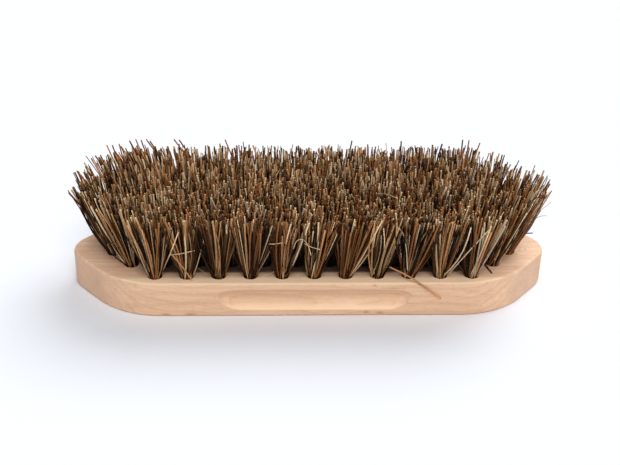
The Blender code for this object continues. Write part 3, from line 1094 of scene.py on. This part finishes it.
tufts = {name: make_tuft_piece(name, number) for number, name in enumerate(tuft_names)}
faces = sum(len(tuft.data.polygons) for tuft in tufts.values())
print(len(tufts), "pieces of fibre hold", faces, "faces")

# %% [markdown]
# A new brush sheds. A few loose fibres lie on the block, hang over its front edge or are caught
# crosswise in the tufts. Each one follows its own short path of points, so Geometry Nodes turn the
# path into a smooth line and sweep a round section along it. The points were found by looking
# through the camera, at the height or depth of whatever carries the fibre there.

# %% Loose fibre tree


def make_loose_fibre_tree():
    """A tree that turns a path of points into a smooth round fibre."""
    tree, given, result = new_tree(
        "loose fibre",
        "GeometryNodeTree",
        [
            ("Path", "NodeSocketGeometry", None),
            ("Radius", "NodeSocketFloat", 0.25 * MM),
            ("Step", "NodeSocketFloat", 0.8 * MM),
            ("Sides", "NodeSocketInt", 6),
            ("Tone", "NodeSocketFloat", 0.5),
            ("Finish", "NodeSocketMaterial", None),
        ],
        [("Fibre", "NodeSocketGeometry")],
    )
    line = add_node(tree, "GeometryNodeMeshToCurve", {"Mesh": given["Path"]}).outputs[0]
    settings = {"spline_type": "CATMULL_ROM"}
    line = add_node(tree, "GeometryNodeCurveSplineType", {"Curve": line}, **settings).outputs[0]
    links = {"Curve": line, "Length": given["Step"]}
    line = add_node(tree, "GeometryNodeResampleCurve", links, mode="LENGTH").outputs[0]
    along = add_node(tree, "GeometryNodeSplineParameter").outputs["Factor"]
    line = marked(tree, line, {"tone": given["Tone"], "along": along, "inner": 0.0})
    finish_tree(tree, swept(tree, line, given["Radius"], given["Sides"]), given["Finish"], result)
    return tree


loose_tree = make_loose_fibre_tree()
print("the loose fibre tree has", len(loose_tree.nodes), "nodes")

# %% Loose fibres
TAN_TONE = 0.72
STRAW_TONE = 0.84
GREY_TONE = 0.92
ORANGE_TONE = 0.98
DARK_TONE = 0.3
LOOSE_FIBRES = {
    "over_edge": (
        ORANGE_TONE, 0.32, (31.4, -26.5, 20.6), (34.4, -28.4, 20.0), (37.9, -29.4, 18.6),
        (41.6, -30.6, 16.8), (44.6, -31.6, 14.9), (48.4, -31.6, 12.0), (52.5, -31.5, 8.7),
    ),
    "leaning_orange": (
        ORANGE_TONE, 0.3, (-55.9, -33.5, 31.0), (-52.3, -31.4, 24.2), (-49.6, -28.2, 17.4),
        (-48.6, -28.2, 15.6),
    ),
    "cross_left": (
        STRAW_TONE, 0.17, (-56.7, -31.0, 29.1), (-51.5, -31.8, 30.3), (-46.8, -31.2, 31.3),
    ),
    "leaning_pale_left": (
        STRAW_TONE, 0.24, (-61.2, -22.0, 15.8), (-56.3, -32.0, 30.9), (-52.8, -34.2, 41.0),
    ),
    "leaning_pale_right": (
        STRAW_TONE, 0.27, (55.4, -25.0, 15.6), (62.0, -30.6, 29.9), (69.4, -33.2, 42.1),
    ),
    "bit_right": (DARK_TONE, 0.3, (72.0, -14.7, 16.4), (73.0, -19.0, 16.0), (74.2, -23.5, 15.8)),
    "bit_middle": (TAN_TONE, 0.18, (67.4, -19.6, 16.2), (67.9, -26.7, 15.7)),
    "bit_tip": (DARK_TONE, 0.22, (88.0, -6.2, 24.2), (90.9, -6.0, 24.8), (93.9, -5.6, 24.8)),
    "hair_tip_long": (
        GREY_TONE, 0.13, (87.0, -6.6, 24.0), (89.3, -8.0, 28.5), (93.6, -8.4, 35.2),
        (99.2, -8.0, 40.8),
    ),
    "hair_tip_short": (
        GREY_TONE, 0.13, (89.0, -6.0, 27.6), (92.0, -6.0, 30.3), (95.9, -6.2, 33.1),
        (98.9, -5.8, 33.1),
    ),
    "hook_middle": (
        STRAW_TONE, 0.16, (-7.9, -30.6, 31.4), (-7.7, -32.0, 33.2), (-6.6, -32.6, 36.3),
        (-4.2, -32.8, 37.0), (-2.2, -32.6, 34.1), (-0.9, -31.4, 29.1),
    ),
    "cross_middle": (
        STRAW_TONE, 0.15, (-3.6, -32.4, 35.0), (-1.0, -32.8, 33.6), (2.6, -31.6, 31.8),
    ),
    "cross_left_middle": (
        STRAW_TONE, 0.16, (-17.4, -31.4, 34.2), (-14.2, -32.6, 35.0), (-10.8, -31.6, 35.4),
    ),
    "lying_left": (
        STRAW_TONE, 0.16, (-46.6, -20.0, 16.4), (-44.0, -22.0, 15.8), (-40.6, -24.0, 15.7),
    ),
    "lying_middle": (
        STRAW_TONE, 0.16, (-22.6, -26.4, 15.7), (-18.6, -25.2, 15.8), (-14.8, -22.6, 16.8),
    ),
    "arc_right": (
        STRAW_TONE, 0.17, (32.7, -32.2, 42.3), (35.2, -32.4, 39.1), (37.0, -31.2, 31.4),
        (38.4, -28.4, 20.4),
    ),
    "cross_top": (GREY_TONE, 0.17, (26.0, -11.0, 46.2), (30.0, -12.4, 46.6), (34.6, -14.0, 45.4)),
    "curved_top": (
        STRAW_TONE, 0.17, (-16.6, 10.0, 41.1), (-13.2, 14.0, 44.4), (-12.1, 19.0, 46.8),
        (-12.4, 25.0, 49.0),
    ),
}


def make_loose_fibre(name, tone, radius, *points):
    """A single fibre along its path of points. Its radius and points are in millimetres."""
    path = bpy.data.meshes.new("path")
    steps = [(i, i + 1) for i in range(len(points) - 1)]
    path.from_pydata([Vector(point) * MM for point in points], steps, [])
    settings = {"Radius": radius * MM, "Tone": tone, "Finish": mixed_fibre}
    return grow(f"loose_fibre_{name}", loose_tree, settings, start=path)


loose_fibres = [make_loose_fibre(name, *fibre) for name, fibre in LOOSE_FIBRES.items()]
print(len(loose_fibres), "loose fibres lie on the brush")

# %% [markdown]
# Some fibres escaped the trim. They stand out of the rear edge, most of them at its left corner,
# where they break the outline against the pale background. Each is made as a loose fibre, whose
# path starts at the mouth of its tuft's hole, bows a little upwards and ends at a tip found
# through the camera.

# %% Long fibres
RUSSET_TONE = 0.6
LONG_RADIUS = 0.32
LONG_BOW = Vector((0, 0, 3))
LONG_FIBRES = (
    ("tuft_rear_01", DARK_TONE, (-78.3, 34.6, 49.0)),
    ("tuft_rear_01", RUSSET_TONE, (-75.8, 35.9, 49.2)),
    ("tuft_rear_01", DARK_TONE, (-73.4, 35.6, 49.0)),
    ("tuft_rear_02", RUSSET_TONE, (-71.2, 36.0, 49.2)),
    ("tuft_rear_02", DARK_TONE, (-69.6, 35.4, 48.6)),
    ("tuft_far_01", RUSSET_TONE, (-87.8, 30.6, 48.8)),
    ("tuft_far_01", DARK_TONE, (-85.4, 30.6, 48.8)),
    ("tuft_far_01", RUSSET_TONE, (-82.6, 31.8, 48.8)),
    ("tuft_far_01", DARK_TONE, (-91.3, 19.5, 48.9)),
    ("tuft_rear_03", RUSSET_TONE, (-59.1, 36.0, 49.2)),
    ("tuft_rear_03", DARK_TONE, (-56.8, 35.8, 49.0)),
    ("tuft_rear_04", RUSSET_TONE, (-36.7, 35.7, 49.2)),
    ("tuft_rear_07", DARK_TONE, (19.2, 35.1, 49.1)),
    ("tuft_rear_09", DARK_TONE, (41.0, 34.7, 49.1)),
    ("tuft_rear_11", DARK_TONE, (68.5, 36.0, 49.2)),
    ("tuft_rear_11", RUSSET_TONE, (75.8, 33.3, 48.9)),
)


def make_long_fibre(number, node_name, tone, tip):
    """A fibre that stands out of its tuft and ends at this tip, given in millimetres."""
    mouth = holes[node_name][0][0] / MM
    middle = mouth.lerp(Vector(tip), 0.5) + LONG_BOW
    return make_loose_fibre(f"long_{number:02d}", tone, LONG_RADIUS, mouth, middle, Vector(tip))


loose_fibres += [make_long_fibre(number, *fibre) for number, fibre in enumerate(LONG_FIBRES, 1)]
print(len(LONG_FIBRES), "more fibres stand out of their tufts")

# %% [markdown]
# The studio is a pale floor in an evenly lit white tent. One soft light stands behind the brush on
# the right, and throws a soft shadow to the left and towards the camera. Another stands high in
# front and lifts the near face. The tent is white only where it is seen, so that the background
# is white without more light on the brush. The floor is a touch cool where it shows, which evens
# out the warm light that the brush throws on it.

# %% Studio
SKY_LEVEL = 0.25
SKY_SHADE = (0.985, 0.995, 1.02, 1.0)
WHITE = (1.0, 1.0, 1.0, 1.0)
BACK_LEVEL = 1.95
BACK_TOWARDS = Vector((0.5, 0.65, 1.0))
BACK_SOFTNESS = math.radians(45)
FRONT_LEVEL = 1.7
FRONT_TOWARDS = Vector((0.1, -0.7, 1.0))
FRONT_SOFTNESS = math.radians(35)
FLOOR_BOUNCE = (0.95, 0.95, 0.95, 1.0)
FLOOR_SHADE = (0.85, 0.88, 0.935, 1.0)
FLOOR_SIZE = 6.0
FLOOR_DROP = 0.02 * MM


def add_sun(name, level, softness, towards):
    """A far lamp that shines from this direction, as soft as the angle that it fills."""
    lamp = bpy.data.lights.new(name, "SUN")
    lamp.energy = level
    lamp.angle = softness
    sun = bpy.data.objects.new(name, lamp)
    sun.rotation_euler = (-towards).to_track_quat("-Z", "Y").to_euler()
    scene.collection.objects.link(sun)


def rays_that_show(tree):
    """1 for rays that show the background: to the camera, in a reflection or through glass."""
    path = add_node(tree, "ShaderNodeLightPath").outputs
    both = maths(tree, "MAXIMUM", path["Is Camera Ray"], path["Is Glossy Ray"])
    return maths(tree, "MAXIMUM", both, path["Is Transmission Ray"])


def add_floor():
    """A wide matt floor right under the brush."""
    build = bmesh.new()
    bmesh.ops.create_grid(build, x_segments=1, y_segments=1, size=FLOOR_SIZE / 2)
    bmesh.ops.translate(build, vec=(0, 0, block_low.z - FLOOR_DROP), verts=build.verts)
    mesh = bpy.data.meshes.new("floor")
    build.to_mesh(mesh)
    build.free()
    material = bpy.data.materials.new("pale_floor")
    material.use_nodes = True
    tree = material.node_tree
    tree.nodes.clear()
    shade = blended(tree, rays_that_show(tree), FLOOR_BOUNCE, FLOOR_SHADE)
    matt = add_node(tree, "ShaderNodeBsdfDiffuse", {"Color": shade}).outputs[0]
    add_node(tree, "ShaderNodeOutputMaterial", {"Surface": matt})
    mesh.materials.append(material)
    floor = bpy.data.objects.new("floor", mesh)
    scene.collection.objects.link(floor)


def light_sky():
    """The tent: dim and even on the brush, white where it shows."""
    world = bpy.data.worlds.new("sky")
    scene.world = world
    world.use_nodes = True
    tree = world.node_tree
    shown = rays_that_show(tree)
    background = tree.nodes["Background"].inputs
    tree.links.new(blended(tree, shown, SKY_SHADE, WHITE), background["Color"])
    tree.links.new(ranged(tree, shown, 0.0, 1.0, SKY_LEVEL, 1.0), background["Strength"])


add_floor()
light_sky()
add_sun("back_light", BACK_LEVEL, BACK_SOFTNESS, BACK_TOWARDS)
add_sun("front_light", FRONT_LEVEL, FRONT_SOFTNESS, FRONT_TOWARDS)
scene.view_settings.view_transform = "Standard"
print("the tent gives a level of", SKY_LEVEL)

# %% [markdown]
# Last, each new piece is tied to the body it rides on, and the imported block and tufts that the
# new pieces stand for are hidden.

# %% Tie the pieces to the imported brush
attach(block, BODY)
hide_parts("block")
for name, tuft in tufts.items():
    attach(tuft, BODY)
    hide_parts(name)
for fibre in loose_fibres:
    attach(fibre, BODY)
print(1 + len(tufts) + len(loose_fibres), "pieces ride on the body", BODY)
